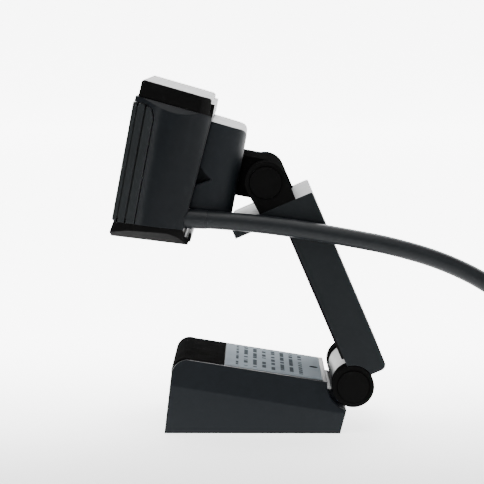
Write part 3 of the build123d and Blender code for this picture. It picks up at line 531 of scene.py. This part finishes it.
# %% [markdown]
# ## Lens glass and clear mouldings
# The lens is coated, so it looks dark with a violet and green tint. Two colours mixed by a broad noise
# under a tinted coat give that. The light pipe and the plug's insulator are milky plastic, and a haze
# in colour, roughness and relief is enough for parts that are a millimetre or two across.

# %% Lens glass and light pipe
def coated_glass(name):
    """Dark lens glass under a tinted coating."""
    finish = Finish(name)
    tint = finish.noise(2.5 * MM)
    return finish.close(
        Base_Color=finish.mix(tint, (0.018, 0.014, 0.045, 1), (0.010, 0.030, 0.040, 1)),
        Roughness=0.02 + finish.noise(0.4 * MM) * 0.03,
        Specular_IOR_Level=0.9,
        Coat_Weight=1.0,
        Coat_Roughness=0.02,
        Coat_Tint=(0.75, 0.7, 1.0, 1),
    )


def clear_moulding(name, dark, light):
    """Milky plastic with a haze in it."""
    finish = Finish(name)
    haze = finish.noise(0.9 * MM, detail=3.0)
    return finish.close(
        Base_Color=finish.mix(haze, dark, light),
        Roughness=0.22 + haze * 0.15,
        Normal=finish.bump(haze, 0.006 * MM, over=finish.soft_edge(0.1 * MM)),
    )


glass_finish = coated_glass("coated_lens")
pipe_finish = clear_moulding("light_pipe", (0.50, 0.52, 0.50, 1), (0.68, 0.70, 0.66, 1))
tongue_finish = clear_moulding("white_insulator", (0.70, 0.69, 0.66, 1), (0.84, 0.83, 0.80, 1))
print("clear:", ", ".join(clear.name for clear in (glass_finish, pipe_finish, tongue_finish)))

# %% [markdown]
# ## The circuit board
# The board behind the window carries a green mask over its copper tracks, with bare pads between. A
# brick pattern, thinned out by a coarse noise, reads as tracks, and the middles of random cells as
# pads. Nobody sees it unless the head is opened, so it isn't drawn track by track.

# %% Circuit board
def circuit_board(name):
    """Green mask over tracks, with gold pads."""
    finish = Finish(name)
    flat = finish.add("ShaderNodeCombineXYZ", {}, {0: finish.axis("X"), 1: finish.axis("Z"), 2: 0.0})
    grid = finish.add("ShaderNodeTexBrick", {"offset": 0.5, "squash": 1.0}, {
        "Vector": flat,
        "Color1": grey(0.0), "Color2": grey(0.0), "Mortar": grey(1.0),
        "Scale": 1.0, "Mortar Size": 0.14 * MM, "Brick Width": 2.4 * MM, "Row Height": 0.9 * MM,
    })
    gaps = finish.noise(3.0 * MM, detail=0.0) > 0.5
    tracks = grid * gaps
    pads = finish.cells(2.2 * MM) < 0.18
    mask = finish.mix(tracks, (0.006, 0.055, 0.022, 1), (0.014, 0.115, 0.045, 1))
    return finish.close(
        Base_Color=finish.mix(pads, mask, (0.62, 0.52, 0.30, 1)),
        Metallic=pads * 0.9,
        Roughness=0.34 - pads * 0.08 + finish.noise(1.2 * MM) * 0.08,
        Normal=finish.bump(tracks, 0.02 * MM),
    )


board_finish = circuit_board("solder_mask")
print("board:", len(board_finish.node_tree.nodes), "nodes")

# %% [markdown]
# ## Dressing the solids
# Each solid keeps its shape and takes a finish through its material slot. A table from finish to the
# solids that wear it is easier to read than a line for each, and it shows at once if one is missed.

# %% Who wears what
WEARS = {
    shaded_shell_finish: ("rear_shell",),
    # The rear housing wears the base's lighter tone rather than the head shell's, as painted light.
    housing_finish: ("rear_housing", "base_shell", "base_hinge_lug"),
    arm_finish: ("arm_shell", "arm_inner_cover"),
    lit_band_finish: ("front_bezel",),
    cover_finish: ("top_cover", "bottom_cover", "base_bottom_plate"),
    hinge_finish: ("neck_bracket", "lower_yoke", "upper_yoke", "lower_pin_caps", "upper_pin_caps"),
    inner_finish: ("lens_holder", "lens_barrel", "lens_ring"),
    plug_finish: ("plug_overmold", "coil_tie"),
    pad_finish: ("base_grip_pad", "arm_grip_pad"),
    foam_finish: ("mic_gaskets",),
    jacket_finish: ("strain_relief", "cable", "cable_tail", "cable_coil"),
    label_finish: ("rating_label",),
    steel_finish: ("arm_screws", "base_screws", "board_screws", "neck_screws", "microphones",
                   "lower_hinge_pin", "upper_hinge_pin", "lower_friction_washers",
                   "upper_friction_washers"),
    brass_finish: ("tripod_insert",),
    gold_finish: ("plug_contacts",),
    plug_metal: ("plug_shell",),
    window_finish: ("front_panel",),
    sensor_finish: ("image_sensor",),
    glass_finish: ("front_lens",),
    pipe_finish: ("status_light",),
    tongue_finish: ("plug_tongue", "board_connector"),
    board_finish: ("main_board",),
}
for finish_material, wearers in WEARS.items():
    for wearer in wearers:
        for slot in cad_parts[wearer].material_slots:
            slot.material = finish_material
for cord_piece in (cable_upper, cable_lower):
    cord_piece.data.materials.append(jacket_finish)
dressed = {wearer for wearers in WEARS.values() for wearer in wearers}
bare = sorted(set(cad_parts) - dressed)
print("dressed", len(dressed), "of", len(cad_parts), "solids; bare:", bare)

# %% [markdown]
# ## The studio's ground
# A white sweep gives the plain ground: a floor that curves up far behind. A backdrop lit from behind
# would be another object. Here the paper itself glows behind the object and fades out in front of it,
# so the ground is white while the sides that face the camera stay dark.

# %% Floor sweep
SWEEP_CURVE = 0.6
SWEEP_SIDE = 6.0
SWEEP_BACK = 1.4
SWEEP_TOP = 2.6
GLOW = 6.0
GLOW_FULL_AT, GLOW_ENDS_AT = -0.13, 0.125


def sweep():
    """Paper that lies flat, curves up and stands."""
    profile = [(-SWEEP_SIDE, 0.0), (SWEEP_BACK, 0.0)]
    profile += [
        (SWEEP_BACK + SWEEP_CURVE * math.sin(turn), SWEEP_CURVE * (1 - math.cos(turn)))
        for turn in (math.radians(9 * k) for k in range(1, 11))
    ]
    profile += [(SWEEP_BACK + SWEEP_CURVE, SWEEP_TOP)]
    bm = bmesh.new()
    rows = [
        [bm.verts.new((-away, side, height)) for away, height in profile]
        for side in (-SWEEP_SIDE, SWEEP_SIDE)
    ]
    for k in range(len(profile) - 1):
        bm.faces.new((rows[0][k], rows[0][k + 1], rows[1][k + 1], rows[1][k])).smooth = True
    bmesh.ops.recalc_face_normals(bm, faces=bm.faces)
    mesh = bpy.data.meshes.new("studio_sweep")
    bm.to_mesh(mesh)
    bm.free()
    floor = bpy.data.objects.new("studio_sweep", mesh)
    floor.location.z = -0.02 * MM
    bpy.context.scene.collection.objects.link(floor)
    paper = Finish("sweep_paper")
    tooth = paper.noise(1.5 * MM, detail=4.0)
    backlight = paper.add("ShaderNodeMapRange", {"interpolation_type": "SMOOTHSTEP"}, {
        "Value": paper.axis("X"), "From Min": GLOW_FULL_AT, "From Max": GLOW_ENDS_AT,
        "To Min": 1.0, "To Max": 0.0,
    })
    floor.data.materials.append(paper.close(
        Base_Color=paper.mix(tooth, grey(0.86), grey(0.89)),
        Emission_Color=paper.mix(backlight, grey(0.0), grey(1.0)),
        Emission_Strength=GLOW,
        Roughness=0.8,
        Normal=paper.bump(tooth, 0.01 * MM),
    ))
    return floor


studio_floor = sweep()
print("sweep of", len(studio_floor.data.polygons), "strips")

# %% [markdown]
# ## The lamps
# Soft light comes from a large panel overhead and one high in front. Tall strips at the sides draw
# the round edges, and the two narrow ones leave a streak down the head's curved ends. A white
# surround fills the shadows. The lamps are lights and not glowing cards, so only the object and the
# sweep are ever seen.

# %% Lights
TARGET = (0.0, 0.0, 0.05)


def panel(name, place, size, watts, spread=180):
    """A rectangular lamp that looks at the middle of the object."""
    light = bpy.data.lights.new(name, "AREA")
    light.shape = "RECTANGLE"
    light.size, light.size_y = size
    light.energy = watts
    light.spread = math.radians(spread)
    lamp = bpy.data.objects.new(name, light)
    lamp.location = place
    lamp.rotation_mode = "QUATERNION"
    lamp.rotation_quaternion = (Vector(TARGET) - Vector(place)).to_track_quat("-Z", "Y")
    bpy.context.scene.collection.objects.link(lamp)
    return lamp


panel("overhead_panel", (0.02, 0.0, 0.75), (0.4, 0.9), 3.6, spread=140)
panel("front_high_panel", (0.62, 0.0, 0.62), (0.6, 0.16), 1.3)
panel("left_strip", (0.30, -0.60, 0.26), (0.10, 0.50), 0.9)
panel("right_strip", (0.22, 0.62, 0.30), (0.10, 0.50), 0.9)
panel("nose_strip", (0.10, -0.60, 0.22), (0.25, 0.40), 1.0)
panel("left_edge_strip", (0.50, -0.17, 0.16), (0.03, 0.34), 0.2)
panel("right_edge_strip", (0.44, 0.27, 0.17), (0.04, 0.34), 0.2)
surround = bpy.data.worlds.new("white_surround")
surround.use_nodes = True
background = surround.node_tree.nodes["Background"]
background.inputs["Color"].default_value = grey(1.0)
background.inputs["Strength"].default_value = 0.13
bpy.context.scene.world = surround
print("studio lit")

# %% [markdown] ## Closing The dressed model must keep to the solids' own box.
